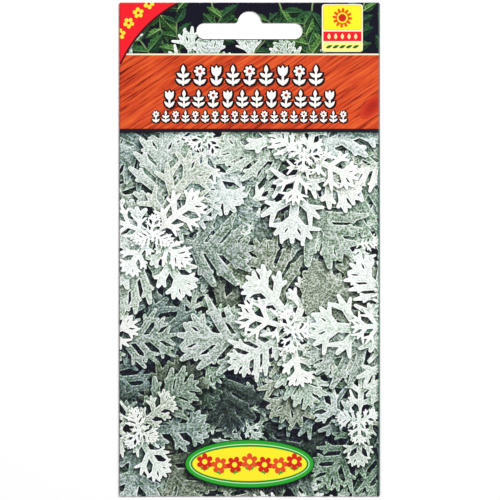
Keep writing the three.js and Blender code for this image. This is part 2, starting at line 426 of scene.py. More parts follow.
def lay_rosette(place, lift):
    """Prints a plant of silver leaves, from its long outer leaves to its heart."""
    start = chance.uniform(0, 360)
    for ring, (count, length, tone, inset) in enumerate(ROSETTE_RINGS):
        for k in range(count):
            heading = start + 34 * ring + 360 * k / count + chance.uniform(-17, 17)
            kinds = young_leaves if ring > 1 else broad_leaves
            foot = place + inset * turned(heading) + chance.uniform(-0.8, 0.8, 2)
            lay_leaf(kinds, foot, heading, length * chance.uniform(0.8, 1.12),
                     tone + lift + chance.uniform(-0.1, 0.1))


foliage_ground = [(LEFT_BLEED, FOLIAGE_FOOT), (RIGHT_BLEED, FOLIAGE_FOOT),
                  (RIGHT_BLEED, BAND_FOOT + 4), (LEFT_BLEED, BAND_FOOT + 4)]
lay(steps_round(foliage_ground), "#15161f", shaded=0.3)
for _ in range(10):
    spot = chance.uniform((-RIGHT - 2, -TOP - 2), (RIGHT + 2, BAND_FOOT + 4))
    lay_leaf(broad_leaves, spot, chance.uniform(0, 360), chance.uniform(20, 27), chance.uniform(0.08, 0.26))

ROSETTE_STEP, ROW_STEP = 33, 29  # how far apart the rosettes stand
middles = []
for row in range(5):
    for column in range(4):
        x = ROSETTE_STEP * (column - 1.5 + 0.5 * (row % 2))
        y = BAND_FOOT - 6 - ROW_STEP * row
        middles.append((x + chance.uniform(-3, 3), y + chance.uniform(-3, 3)))
middles.sort(key=lambda place: place[1] + chance.uniform(-60, 60))
for place, lift in zip(middles, np.repeat((-0.22, 0.02, 0.24), (6, 7, 7))):
    lay_rosette(np.array(place), lift)


# -------------------------------------------------------- the print: header, band and badges
# The head is dark, with green sprigs and silver leaves round the slot, a red flash in its
# left corner and a yellow plaque at its right. Under it lies a band of reddish wood with
# three rows of white flowers and twigs. An oval label with flowers lies near the foot.

HEADER_FOOT = 61.4
CREAM = "#f3ecd2"


def box_ring(x0, x1, y0, y1, corner=0.0, count=5):
    """A rectangle, with round corners if a radius is given."""
    if not corner:
        return np.array([(x0, y0), (x1, y0), (x1, y1), (x0, y1)], float)
    middles = ((x1 - corner, y1 - corner), (x0 + corner, y1 - corner),
               (x0 + corner, y0 + corner), (x1 - corner, y0 + corner))
    rounds = [arc(m, corner, 90 * k, 90 * k + 90, count) for k, m in enumerate(middles)]
    return np.concatenate(rounds)


def oval(radius_x, radius_y=None, count=24):
    """An oval, or a circle if only one radius is given."""
    turn = 2 * np.pi * np.arange(count) / count
    return np.column_stack([radius_x * np.cos(turn), (radius_y or radius_x) * np.sin(turn)])


def scalloped(radius, depth, petals, count=6):
    """A round outline of so many petals."""
    turn = 2 * np.pi * np.arange(petals * count) / (petals * count)
    reach = radius - depth + depth * np.abs(np.sin(petals * turn / 2)) ** 0.7
    return reach[:, None] * np.column_stack([np.cos(turn), np.sin(turn)])


def almond(length, breadth, count=8):
    """A pointed oval leaf along +X."""
    along = np.linspace(0, 1, count)
    upper = breadth / 2 * np.sin(np.pi * along**0.85)
    there = np.column_stack([length * along, upper])
    return np.concatenate([there, there[-2:0:-1] * (1, -1)])


def stroke(path, width):
    """A line of even width along a path."""
    path = np.asarray(path, float)
    along = np.gradient(path, axis=0)
    across = np.column_stack([-along[:, 1], along[:, 0]]) / np.linalg.norm(along, axis=1)[:, None]
    return np.concatenate([path + across * width / 2, (path - across * width / 2)[::-1]])


def print_shape(ring, colour, place=(0, 0), heading=0.0, **finish):
    lay(steps_round(placed(ring, place, heading)), colour, **finish)


def toothed(length, breadth, teeth):
    """The upper half of an oval leaf along +X, with a saw-toothed edge."""
    along = np.linspace(0, 1, 2 * teeth + 1)
    notch = np.where(np.arange(len(along)) % 2, 1.04, 0.8)
    shift = np.where(np.arange(len(along)) % 2, 0.035, 0.0)
    return np.column_stack([length * (along + shift), breadth / 2 * notch * np.sin(np.pi * along**0.8)])


def print_green_leaf(place, heading, length, greens):
    """A dark leaf with a lighter half and a pale midrib."""
    half = toothed(length, 0.5 * length, 6)
    both = np.concatenate([half, half[-2:0:-1] * (1, -1)])
    lighter = half if turned(heading + 90) @ turned(62) > 0 else half * (1, -1)
    print_shape(both, greens[0], place, heading, finish=GREEN, shaded=1.0)
    print_shape(lighter, greens[1], place, heading, finish=GREEN, shaded=0.8)
    midrib = [(0, 0.16), (0.96 * length, 0.0), (0, -0.16)]
    print_shape(np.array(midrib), greens[2], place, heading, shaded=0.6)


def print_header():
    """The dark head, its green sprigs and silver leaves, and a painted shadow line under the slot."""
    print_shape(box_ring(LEFT_BLEED, RIGHT_BLEED, HEADER_FOOT, HEAD_BLEED), "#100f20", shaded=0.4)
    greens = (("#22412a", "#386637", "#6f9560"), ("#1a3526", "#2a5234", "#4c744c"),
              ("#325a2d", "#568742", "#9bbf7e"))
    hanging = [(x, FLAP_START, -90) for x in (-28, -12, 9, 19, 38)]
    rising = [(x, HEADER_FOOT - 3, 90) for x in (-41, -31, -22, -11, 0, 11, 20, 31, 40)]
    for foot_x, foot_y, upright in hanging + rising:
        foot = np.array([foot_x + chance.uniform(-2, 2), foot_y])
        lean, reach = upright + chance.uniform(-28, 28), chance.uniform(13, 19)
        path = np.column_stack([np.linspace(0, reach, 9), np.zeros(9)])
        path = placed(path, foot, lean, 1, chance.uniform(-2.5, 2.5))
        print_shape(stroke(path, 0.5), "#7f9a66", shaded=0.8)
        for step in (2, 4, 6, 8):
            for side in (1, -1):
                heading = lean + side * chance.uniform(34, 70)
                size = chance.uniform(6.2, 9.0) - 0.3 * step
                print_green_leaf(path[step], heading, size, greens[chance.integers(3)])
    for foot_x, length in ((-36, 23), (-20, 22), (-10, 19), (1, 20), (13, 19), (26, 18)):
        foot = np.array([foot_x + chance.uniform(-1, 1), HEADER_FOOT - 13.5])
        heading = 90 + chance.uniform(-16, 16)
        lay_leaf(hand_leaves + young_leaves, foot, heading, length, chance.uniform(0.62, 0.94))
    slot_shadow_radius = SLOT_ARM + 0.14  # radius of the painted shadow line under the slot's lower edge
    # painted shadow: a dark grey line along the slot's lower edge
    slot_shadow = [arc((-SLOT_END, SLOT_MIDDLE), slot_shadow_radius, 205, 270, 9),
           arc((SLOT_END, SLOT_MIDDLE), slot_shadow_radius, -90, -25, 9)]
    print_shape(stroke(np.concatenate(slot_shadow), 0.36), "#5f5b58")


def print_band():
    """The wooden band with its dark foot, its knot and the cream line over it."""
    left, right = LEFT_BLEED, RIGHT_BLEED
    print_shape(box_ring(left, right, BAND_FOOT - 1.1, HEADER_FOOT), "#171420")
    print_shape(box_ring(left, right, BAND_FOOT - 0.4, HEADER_FOOT), "#3d0f18")
    print_shape(box_ring(left, right, BAND_FOOT, HEADER_FOOT), "#e04a26", finish=WOOD, shaded=0.5)
    for size, colour in ((1, "#cb3a1e"), (0.72, "#bc2e1a"), (0.42, "#ad2616")):
        print_shape(oval(4.9 * size, 2.4 * size), colour, (38.5, 44.9), 47)
    print_shape(box_ring(left, right, HEADER_FOOT - 0.25, HEADER_FOOT + 0.25), CREAM)


def grown(ring, by):
    """An outline moved outwards all round."""
    along = np.roll(ring, -1, axis=0) - np.roll(ring, 1, axis=0)
    outward = np.column_stack([along[:, 1], -along[:, 0]]) / np.linalg.norm(along, axis=1)[:, None]
    x, y = ring.T
    area = (x * np.roll(y, -1) - y * np.roll(x, -1)).sum()
    return ring + by * np.sign(area) * outward


def sprig():
    """An upright twig with two pairs of leaves and one at its tip, one unit high."""
    pairs = [placed(almond(size, 0.18), (0, y), 90 + lean) for y, size in ((0.08, 0.44), (0.4, 0.38))
             for lean in (56, -56)]
    return [stroke([(0, 0), (0, 0.3), (0, 0.7)], 0.1), *pairs, placed(almond(0.42, 0.2), (0, 0.6), 90)]


def daisy():
    """A round flower over a pair of leaves, one unit high."""
    pair = [placed(almond(0.4, 0.18), (0, 0.06), 90 + lean) for lean in (52, -52)]
    head = placed(scalloped(0.29, 0.12, 7, 4), (0, 0.7))
    return [stroke([(0, 0), (0, 0.3), (0, 0.6)], 0.11), *pair, head]


def tulip():
    """A flower of three petals over a pair of leaves, one unit high."""
    pair = [placed(almond(0.46, 0.17), (0, 0.02), 90 + lean) for lean in (40, -40)]
    petals = [placed(almond(0.58, 0.24), (0, 0.42), 90 + lean) for lean in (24, -24, 0)]
    return [stroke([(0, 0), (0, 0.25), (0, 0.5)], 0.11), *pair, *petals]


def flower_row(middle, width, height, figures):
    """A row of white figures with dark edges, where a packet has its title."""
    count = round(width / (0.8 * height))
    rings, eyes = [], []
    for k in range(count):
        foot = (width * ((k + 0.5) / count - 0.5), middle - height / 2)
        figure = figures[min(k, count - 1 - k) % len(figures)]
        rings += [placed(ring, foot, 0, height) for ring in figure()]
        if figure is daisy:
            eyes.append((foot[0], foot[1] + 0.7 * height))
    for ring in rings:
        print_shape(grown(ring, 0.14 + 0.08 * height), "#1c080d", (0.1, -0.14))
    for ring in rings:
        print_shape(ring, "#f9f6f2")
    for eye in eyes:
        print_shape(oval(0.09 * height, count=10), "#a82c14", eye)


def print_corner_flash():
    """A red corner with a curved edge, and small yellow flowers along it."""
    centre = (-4, 42)
    edge = arc(centre, 40.4, 112, 156, 14)
    print_shape(stroke(edge, 0.9), "#4a0c16", (0.1, -0.1), shaded=0.4)
    corner = [(LEFT_BLEED, edge[-1, 1]), (LEFT_BLEED, HEAD_BLEED), (edge[0, 0], HEAD_BLEED)]
    print_shape(np.concatenate([edge, corner]), "#f01d2b")
    for k in range(6):
        spot = centre + 44.9 * turned(122.5 + 5.6 * k)
        print_shape(scalloped(1.75, 0.75, 5), "#ffe23c", spot, 31 * k)
        print_shape(oval(0.5, count=10), "#f01d2b", spot)


def print_plaque(place):
    """A yellow plaque with a sun, over a red strip with pale drops and a pale foot with leaves."""
    place = np.array(place)
    sun = place + (0, 3.6)
    print_shape(box_ring(-6.45, 6.45, -7.1, 7.9, 0.9), "#faf1cf", place)
    print_shape(box_ring(-6, 6, -0.3, 7.5, 0.6), "#cfa640", place)
    print_shape(box_ring(-5.85, 5.85, -0.15, 7.35, 0.5), "#fff02c", place)
    print_shape(scalloped(3.2, 1.3, 12, 4), "#e2571f", sun, 10)
    print_shape(oval(1.7, count=16), "#fff02c", sun)
    print_shape(oval(1.25, count=16), "#c9281c", sun)
    print_shape(box_ring(-6, 6, -3.75, -0.7), "#f01d2b", place)
    print_shape(box_ring(-6.1, 6.1, -6.85, -4.1), "#f7f285", place)
    for k in range(-2, 3):
        print_shape(almond(1.9, 1.0), "#ffe9a0", place + (2.1 * k, -3.15), 90)
        print_shape(almond(2.3, 0.9), "#3d5a20", place + (2.1 * k - 1.0, -5.9), 22)


def print_label(place):
    """A yellow oval with green and pale rims, and a row of red flowers on it."""
    rims = ((20.4, 7.7, "#16401c"), (20.1, 7.4, "#2aa82e"), (18.9, 6.3, "#c9f2c0"),
            (18.6, 6.0, "#1f8f2a"), (18.0, 5.4, "#ffee2e"))
    for half_width, half_height, colour in rims:
        print_shape(oval(half_width, half_height, 48), colour, place)
    for k in range(-3, 4):
        spot = np.array(place) + (4.7 * k, 0.7 * math.cos(2 * k))
        print_shape(stroke([(0, 0), (0.1, -1.5), (0, -3)], 0.35), "#1f8f2a", spot)
        for lean in (35, 145):
            print_shape(almond(1.9, 0.9), "#2aa82e", spot + (0, -2.6), lean)
        print_shape(scalloped(2.7, 1.1, 6), "#d8261c" if k % 2 else "#e8502a", spot, 20 * k)
        print_shape(oval(0.85, count=10), "#fff23a", spot)


print_header()
print_band()
flower_row(54.8, 47, 6.4, (sprig, daisy, tulip))
flower_row(47.4, 55, 5.6, (tulip, sprig, sprig, daisy))
flower_row(41.8, 62, 3.8, (daisy, sprig))
print_corner_flash()
print_plaque((29.2, 69.3))
print_label((0, -67.4))

# ------------------------------------------------------------------ the print: the back
# The back and the flaps are leaf green, and the green reaches a little way round onto the
# front. A cream panel holds a strip of twelve months, three plain pictures and ruled lines
# for notes.

BACK_GREEN = "#2f7d46"


def on_back(ring, colour, place=(0, 0), heading=0.0, **finish):
    """Prints a shape at a place as seen from behind, from the middle of the back."""
    print_shape(ring, colour, (BACK_MIDDLE + place[0], place[1]), heading, **finish)


def print_panel():
    """The cream panel with its wooden head, and silver leaves that grow in from a corner."""
    on_back(box_ring(-35.5, 35.5, -60.5, 56.5, 3.5), "#1d5a31")
    on_back(box_ring(-35, 35, -60, 56, 3), "#f6f1dc")
    head = box_ring(-35, 35, 43, 56, 3)
    head[head[:, 1] < 49, 1] = 43
    on_back(head, "#e04a26", finish=WOOD)
    on_back(box_ring(-35, 35, 42.6, 43.2), "#3a1216")
    for swell, colour in ((0.36, "#33161c"), (0, "#fdfdfb")):
        for k in range(9):
            for ring in (tulip, daisy, sprig)[k % 3]():
                on_back(grown(placed(ring, (7 * (k - 4), 46.4), 0, 6.4), swell), colour)
    corner_leaves = ((172, 20, 0.42), (118, 21, 0.5), (145, 25, 0.66), (100, 14, 0.8), (160, 15, 0.84))
    for heading, length, tone in corner_leaves:
        lay_leaf(broad_leaves, (BACK_MIDDLE + 34.5, -59.5), heading, length, tone)


def print_months():
    """A strip of twelve boxes, green where seeds are sown and orange where the plants are out."""
    sown, bedded = (1, 2, 3), (4, 5, 6, 7, 8)
    for k in range(12):
        colour = "#5fae5a" if k in sown else "#e99a3c" if k in bedded else "#e4e4cf"
        box = box_ring(-32.9 + 5.5 * k, -27.6 + 5.5 * k, 32, 38.6, 0.7)
        on_back(grown(box, 0.18), "#8a8f78")
        on_back(box, colour)
        for dot in range(k % 3 + 1):
            on_back(oval(0.42, count=10), "#33503a", (-30.25 + 5.5 * k, 37.2 - 1.3 * dot))


def print_pictures():
    """Three plain pictures in rings: full sun, a little water, and a seedling in a pot."""
    for k, rim_colour in enumerate(("#e99a3c", "#3f8fb5", "#3f8a45")):
        x = 21 * (k - 1)
        on_back(oval(8.2, count=40), rim_colour, (x, 19.5))
        on_back(oval(7.5, count=40), "#fffdf0", (x, 19.5))
    on_back(scalloped(5.6, 2.0, 12, 4), "#f2b81c", (-21, 19.5))
    on_back(oval(3.2), "#f9dd3a", (-21, 19.5))
    for x, y, size in ((-1.9, 20.4, 3.4), (2.2, 21.0, 2.8), (0.6, 16.0, 2.4)):
        drop = np.concatenate([arc((0, 0), 0.5 * size, 150, 390, 12), [(0, 1.25 * size)]])
        on_back(drop, "#3f8fb5", (x, y))
    pot = np.array([(-2.6, 0), (-1.9, -4), (1.9, -4), (2.6, 0)])
    on_back(pot, "#c2643a", (21, 18.6))
    on_back(box_ring(-3, 3, -0.2, 1.1, 0.2), "#a94f2b", (21, 18.6))
    on_back(stroke([(0, 0), (0.1, 2), (0, 4)], 0.5), "#3f8a45", (21, 19.7))
    for lean in (28, 152):
        on_back(almond(3.4, 1.7), "#5fae5a", (21, 21.8), lean)


def print_notes():
    """Ruled lines to write on, and a strip of soil with five seeds, each under a green mark."""
    for k in range(8):
        y = 6.5 - 6.2 * k
        on_back(box_ring(-31.5, 31.5 if y > -32 else 8, y, y + 0.22), "#9aa58b")
    on_back(box_ring(-31.5, 6, -56.5, -49.5, 0.6), "#a9794c")
    on_back(box_ring(-31.5, 6, -50.7, -49.5), "#6f9a4a")
    for k in range(5):
        on_back(placed(almond(2.2, 0.8), (-28 + 7.6 * k, -53.2), 20 + 40 * k), "#5b3c22")
        on_back(box_ring(-0.12, 0.12, 0, 2.2), "#6f9a4a", (-27.6 + 7.6 * k, -49.6))


lay(steps_round(box_ring(FLAT + 0.02, BACK_END + 1, -PANEL_END - 1, PANEL_END + 1)), BACK_GREEN)
print_shape(box_ring(-RIGHT, RIGHT, 0, 40) + (0, HEAD_BLEED), BACK_GREEN)
print_shape(-box_ring(-RIGHT, RIGHT, 0, 40) - (0, FLAP_START + 2.2), BACK_GREEN)
print_panel()
print_months()
print_pictures()
print_notes()

# --------------------------------------------------------- the envelope: mesh and materials
# The printed face is cut into triangles along the folds, the cut edges and every visible
# outline and vein of the print. The bare inner face lies one paper thickness under it, and
# the white cut edges join the two.

PRINT_LIGHT = turned(62)  # where the light in the printed picture comes from
MAP_CELL = 0.1
CAST = ((0.45, 0.17), (0.95, 0.15), (1.6, 0.12), (2.4, 0.1))  # reach and share of a cast shadow
CREVICE = ((0.5, 0.12), (1.0, 0.18), (1.8, 0.16))  # the same, for the dark all round in gaps
SILVER_TONES = (0, 0.2, 0.4, 0.6, 0.8, 1)
SILVER_INKS = [ink(c) for c in ("#12131d", "#374340", "#6b7b75", "#99a6a1", "#cbd6d2", "#f0f5f3")]


def cut_long(steps, longest):
    """Cuts long straight steps into equal shorter ones, and says which step each came from."""
    span = steps[:, 1] - steps[:, 0]
    count = np.maximum(1, np.ceil(np.linalg.norm(span, axis=1) / longest).astype(int))
    origin = np.repeat(np.arange(len(steps)), count)
    rank = np.arange(len(origin)) - np.repeat(np.cumsum(count) - count, count)
    part = span[origin] / count[origin, None]
    start = steps[origin, 0] + rank[:, None] * part
    return origin, np.stack([start, start + part], 1)


def visible_lines(key, longest):
    """The steps of the patches' outlines or veins that no later patch covers."""
    owners = [(number, patch[key]) for number, patch in enumerate(patches) if patch[key] is not None]
    number = np.concatenate([np.full(len(steps), number) for number, steps in owners])
    origin, steps = cut_long(np.concatenate([steps for _, steps in owners]), longest)
    number = number[origin]
    shown = np.zeros(len(steps), bool)
    for part in (0.03, 0.5, 0.97):
        shown |= topmost(steps[:, 0] + part * (steps[:, 1] - steps[:, 0])) <= number
    return steps[shown]


def staggered(low, high, pitch):
    """Loose points in staggered rows, 0.866 of a pitch apart."""
    rows = np.arange(low[1], high[1], 0.866 * pitch)
    columns = np.arange(low[0], high[0], pitch)
    x, y = np.meshgrid(columns, rows)
    x[1::2] += pitch / 2
    return np.column_stack([x.ravel(), y.ravel()])


def cut_sheet(edges, loose):
    """Corners and counterclockwise triangles of the blank, cut along the edges given."""
    points, index = np.unique(edges.reshape(-1, 2), axis=0, return_inverse=True)
    pairs = index.reshape(-1, 2)
    pairs = pairs[pairs[:, 0] != pairs[:, 1]].tolist()
    every = np.concatenate([points, loose]).tolist()
    corners, _, faces, _, _, _ = delaunay_2d_cdt(every, pairs, [], 0, 1e-6)
    corners, faces = np.array(corners), np.array(faces)
    faces = faces[inside(cut_edges, corners[faces].mean(1))]
    used, faces = np.unique(faces, return_inverse=True)
    corners, faces = corners[used], faces.reshape(-1, 3)
    (ax, ay), (bx, by) = [(corners[faces[:, k]] - corners[faces[:, 0]]).T for k in (1, 2)]
    backwards = ax * by < ay * bx
    faces[backwards] = faces[backwards][:, ::-1]
    return corners, faces


def rim_of(faces):
    """The directed edges that only one triangle has."""
    edges = faces[:, [0, 1, 1, 2, 2, 0]].reshape(-1, 2)
    keys = np.sort(edges, axis=1)
    _, first, count = np.unique(keys, axis=0, return_index=True, return_counts=True)
    return edges[first[count == 1]]


def cover_map(low, high):
    """Number of the uppermost patch in each cell of a fine grid, filled row by row."""
    columns, rows = np.ceil((high - low) / MAP_CELL).astype(int)
    cover = np.full((rows, columns), -1)
    for number, patch in enumerate(patches):
        left, foot = np.maximum(0, np.floor((patch["low"] - low) / MAP_CELL)).astype(int)
        right, head = np.maximum(0, np.ceil((patch["high"] - low) / MAP_CELL)).astype(int)
        block = cover[foot:head, left:right]
        y = low[1] + MAP_CELL * (foot + 0.5 + np.arange(block.shape[0]))
        (ax, ay), (bx, by) = patch["outline"].transpose(1, 2, 0)[..., None]
        step, row = np.nonzero((ay > y) != (by > y))
        ax, ay, bx, by = ax[step, 0], ay[step, 0], bx[step, 0], by[step, 0]
        x = ax + (y[row] - ay) * (bx - ax) / (by - ay)
        column = np.clip(np.ceil((x - low[0]) / MAP_CELL - 0.5).astype(int) - left, 0, block.shape[1])
        crossings = np.zeros((block.shape[0], block.shape[1] + 1), int)
        np.add.at(crossings, (row, column), 1)
        block[crossings.cumsum(1)[:, :-1] % 2 == 1] = number
    return cover


def shadow_on(points, own):
    """How much shadow later patches throw on points of patches, from 0 to 1."""
    low, high = points.min(0) - 3, points.max(0) + 3
    cover = cover_map(low, high)

    def later(shift):
        column, row = ((points + shift - low) / MAP_CELL).astype(int).T
        return cover[row, column] > own

    cast = sum(share * later(reach * PRINT_LIGHT) for reach, share in CAST)
    around = [turned(k * 45 + 20) for k in range(8)]
    return cast + sum(share / 8 * later(reach * way) for reach, share in CREVICE for way in around)


def picture_light(y):
    """The foliage grows darker below the middle and lighter again at the foot."""
    darker = 0.015 + 0.0004 * np.minimum(y, BAND_FOOT) + 0.0063 * np.clip(y + 30, -26, 0)
    return darker + 0.013 * np.clip(-64 - y, 0, 12)


def print_corners(corners, faces):
    """Ink and marks (distance from edge, distance from vein, finish) at each face's corners."""
    number = topmost(corners[faces].mean(1))
    pairs = np.column_stack([np.repeat(number, 3), faces.ravel()])
    pairs, where = np.unique(pairs, axis=0, return_inverse=True)
    shadow = shadow_on(corners[pairs[:, 1]], pairs[:, 0])
    colour = np.ones((len(pairs), 4))
    marks = np.full((len(pairs), 3), (9.0, 9.0, 0.0))
    for n in np.unique(number[number >= 0]):
        patch, mine = patches[n], pairs[:, 0] == n
        points = corners[pairs[mine, 1]]
        shade = patch["shaded"] * shadow[mine]
        marks[mine, 2] = patch["finish"]
        if patch["finish"] != LEAF:
            colour[mine, :3] = patch["ink"] * (1 - 0.75 * shade[:, None])
            continue
        from_vein = distance(patch["veins"], points)
        marks[mine, 0] = np.linalg.norm(distance(patch["outline"], points), axis=1)
        marks[mine, 1] = np.linalg.norm(from_vein, axis=1)
        relief = np.clip(from_vein @ PRINT_LIGHT / 1.1, -1, 1)
        tone = patch["tone"] + picture_light(points[:, 1])
        tone = np.minimum(tone, 1.0) + 0.12 * relief - 0.84 * shade
        for channel in range(3):
            silver = np.interp(tone, SILVER_TONES, [c[channel] for c in SILVER_INKS])
            colour[mine, channel] = silver * patch["ink"][channel] ** np.clip(1.1 - tone, 0.1, 1)
    where = where.ravel()
    return colour[where], marks[where]


def bake_places(corners, faces):
    """Where each corner of each face lies on the sheet's own UV map."""
    u, v = corners[faces].mean(1).T
    regions = (
        (np.abs(u) <= SIDE_END, (-SIDE_END, SIDE_END), (0.005, 0.625)),
        (u > SIDE_END, (SIDE_END, BACK_END), (0.635, 0.865)),
        (u < -SIDE_END, (-TAB_END, -SIDE_END), (0.875, 0.895)),
        (v > END_FLAT, (-RIGHT, RIGHT), (0.905, 0.945)),
        (v < -END_FLAT, (-RIGHT, RIGHT), (0.95, 0.99)),
    )
    place = np.zeros((len(faces), 3, 2))
    reach = np.where(np.abs(v) > END_FLAT, TOP_FLAP_END, END_FLAT)[:, None]
    for chosen, (u0, u1), (s0, s1) in regions:
        share = (corners[faces[chosen], 0] - u0) / (u1 - u0)
        place[chosen, :, 0] = s0 + share * (s1 - s0)
    place[:, :, 1] = 0.5 + 0.49 * corners[faces, 1] / reach
    return place


cut_edges = np.round(cut_edges, 2)
ribs = np.round(fold_ribs(), 2)
art_lines = np.round(np.concatenate([visible_lines("outline", 2.4), visible_lines("veins", 1.2)]), 2)
fine = staggered((-SIDE_END, FOLIAGE_FOOT), (SIDE_END, TOP), 1.0)
coarse = staggered((SIDE_END, -PANEL_END), (BACK_END, PANEL_END), 2.6)
outer, outer_faces = cut_sheet(np.concatenate([cut_edges, ribs, art_lines]), np.concatenate([fine, coarse]))
rim = rim_of(outer_faces)
inner_grid = staggered((-TAB_END, -BOTTOM_FLAP_END), (BACK_END, TOP_FLAP_END), 2.6)
inner_grid = inner_grid[inside(cut_edges, inner_grid)]
inner, inner_faces = cut_sheet(np.concatenate([outer[rim], ribs]), inner_grid)

index_of = {tuple(p): n for n, p in enumerate(np.round(inner, 5).tolist())}
under = np.array([[index_of[tuple(p)] for p in ends] for ends in np.round(outer[rim], 5).tolist()])
walls = np.column_stack([rim[:, ::-1], len(outer) + under])
faces = [*outer_faces.tolist(), *(len(outer) + inner_faces[:, ::-1]).tolist(), *walls.tolist()]
places = np.concatenate([fold(outer, 0), fold(inner, PAPER)]) * MM

sheet = bpy.data.meshes.new("packet_envelope")
sheet.from_pydata(places.tolist(), [], faces)
colour, marks = print_corners(outer, outer_faces)
bare = len(sheet.loops) - len(colour)
colour = np.concatenate([colour, np.ones((bare, 4))])
marks = np.concatenate([marks, np.full((bare, 3), (9.0, 9.0, 0.0))])
sheet.attributes.new("ink", "FLOAT_COLOR", "CORNER").data.foreach_set("color", colour.ravel())
sheet.attributes.new("marks", "FLOAT_VECTOR", "CORNER").data.foreach_set("vector", marks.ravel())

inside_places = np.zeros((len(inner_faces), 3, 2))
inside_places[:, :, 0] = 0.992 + 0.007 * (inner[inner_faces[:, ::-1], 0] + TAB_END) / (BACK_END + TAB_END)
inside_places[:, :, 1] = 0.5 + 0.49 * inner[inner_faces[:, ::-1], 1] / TOP_FLAP_END
rank = np.arange(len(walls))[:, None] / len(walls)
wall_places = np.stack([np.tile((0.992, 0.992, 0.999, 0.999), (len(walls), 1)),
                        0.01 + 0.98 * (rank + np.array([1, 0, 0, 1]) / len(walls))], axis=2)
uv = [bake_places(outer, outer_faces), inside_places, wall_places]
sheet.uv_layers.new(name="OFBake").data.foreach_set("uv", np.concatenate([p.ravel() for p in uv]))
material_index = np.repeat((0, 1), (len(outer_faces), len(inner_faces) + len(walls)))
sheet.polygons.foreach_set("material_index", material_index)
sheet.validate()
sheet.update()

envelope = bpy.data.objects.new("packet_envelope", sheet)
bpy.context.scene.collection.objects.link(envelope)
bpy.ops.object.select_all(action="DESELECT")
envelope.select_set(True)
bpy.context.view_layer.objects.active = envelope
bpy.ops.object.shade_smooth_by_angle(angle=math.radians(38))


def new_material(name):
    material = bpy.data.materials.new(name)
    material.use_nodes = True
    return material, material.node_tree, material.node_tree.nodes["Principled BSDF"]


def add_node(tree, kind, settings=None, **inputs):
    """A shader node, with its settings, and its inputs set to values or linked to sockets."""
    node = tree.nodes.new(kind)
    for name, value in (settings or {}).items():
        setattr(node, name, value)
    for name, value in inputs.items():
        socket = node.inputs[int(name[1:]) if name[1:].isdigit() else name.replace("_", " ")]
        if isinstance(value, bpy.types.NodeSocket):
            tree.links.new(value, socket)
        else:
            socket.default_value = value
    return node


def mixed(tree, blend, share, first, second):
    settings = {"data_type": "RGBA", "blend_type": blend}
    return add_node(tree, "ShaderNodeMix", settings, _0=share, _6=first, _7=second).outputs[2]


def reckoned(tree, operation, *values):
    """The result of a Math node."""
    inputs = {f"_{k}": value for k, value in enumerate(values)}
    return add_node(tree, "ShaderNodeMath", {"operation": operation}, **inputs).outputs[0]


def ranged(tree, value, start, end, low=0.0, high=1.0, way="LINEAR"):
    """Goes from low to high as a value goes from start to end."""
    node = add_node(tree, "ShaderNodeMapRange", {"interpolation_type": way}, _0=value, _1=start,
                    _2=end, _3=low, _4=high)
    return node.outputs[0]


def noise(tree, place, scale, **inputs):
    return add_node(tree, "ShaderNodeTexNoise", Vector=place, Scale=scale, **inputs).outputs[0]


